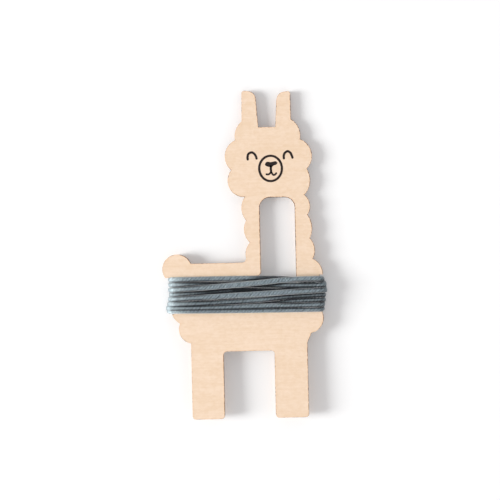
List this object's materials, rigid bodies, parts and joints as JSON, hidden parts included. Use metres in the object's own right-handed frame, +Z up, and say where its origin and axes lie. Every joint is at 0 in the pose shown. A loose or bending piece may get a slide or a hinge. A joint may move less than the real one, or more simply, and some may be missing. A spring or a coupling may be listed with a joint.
{
  "type": "pom-pom maker",
  "caption": "Flat plywood pom-pom maker in the outline of a standing llama, with a neck slot, a leg gap and a hank of yarn wound round its notched waist.",
  "frame": {"origin": "middle of the bottom of the whole part's box: the table that it lies on, under the middle of its length and width", "axes": "+Z up, out of the front face of the plate; +Y from the feet to the ears; +X from the tail side to the chest side"},
  "size_m": [0.0642, 0.127, 0.008],
  "materials": {
    "birch_front": "bare sanded birch face veneer",
    "birch_core": "bare birch core veneer, laser-cut edge toasted brown",
    "birch_back": "bare sanded birch back veneer",
    "yarn": "soft plied wool yarn, slate blue-grey"
  },
  "bodies": {
    "root": {"front_veneer": "birch_front", "core_veneer": "birch_core", "back_veneer": "birch_back", "yarn_winding": "yarn"}
  },
  "joints": []
}
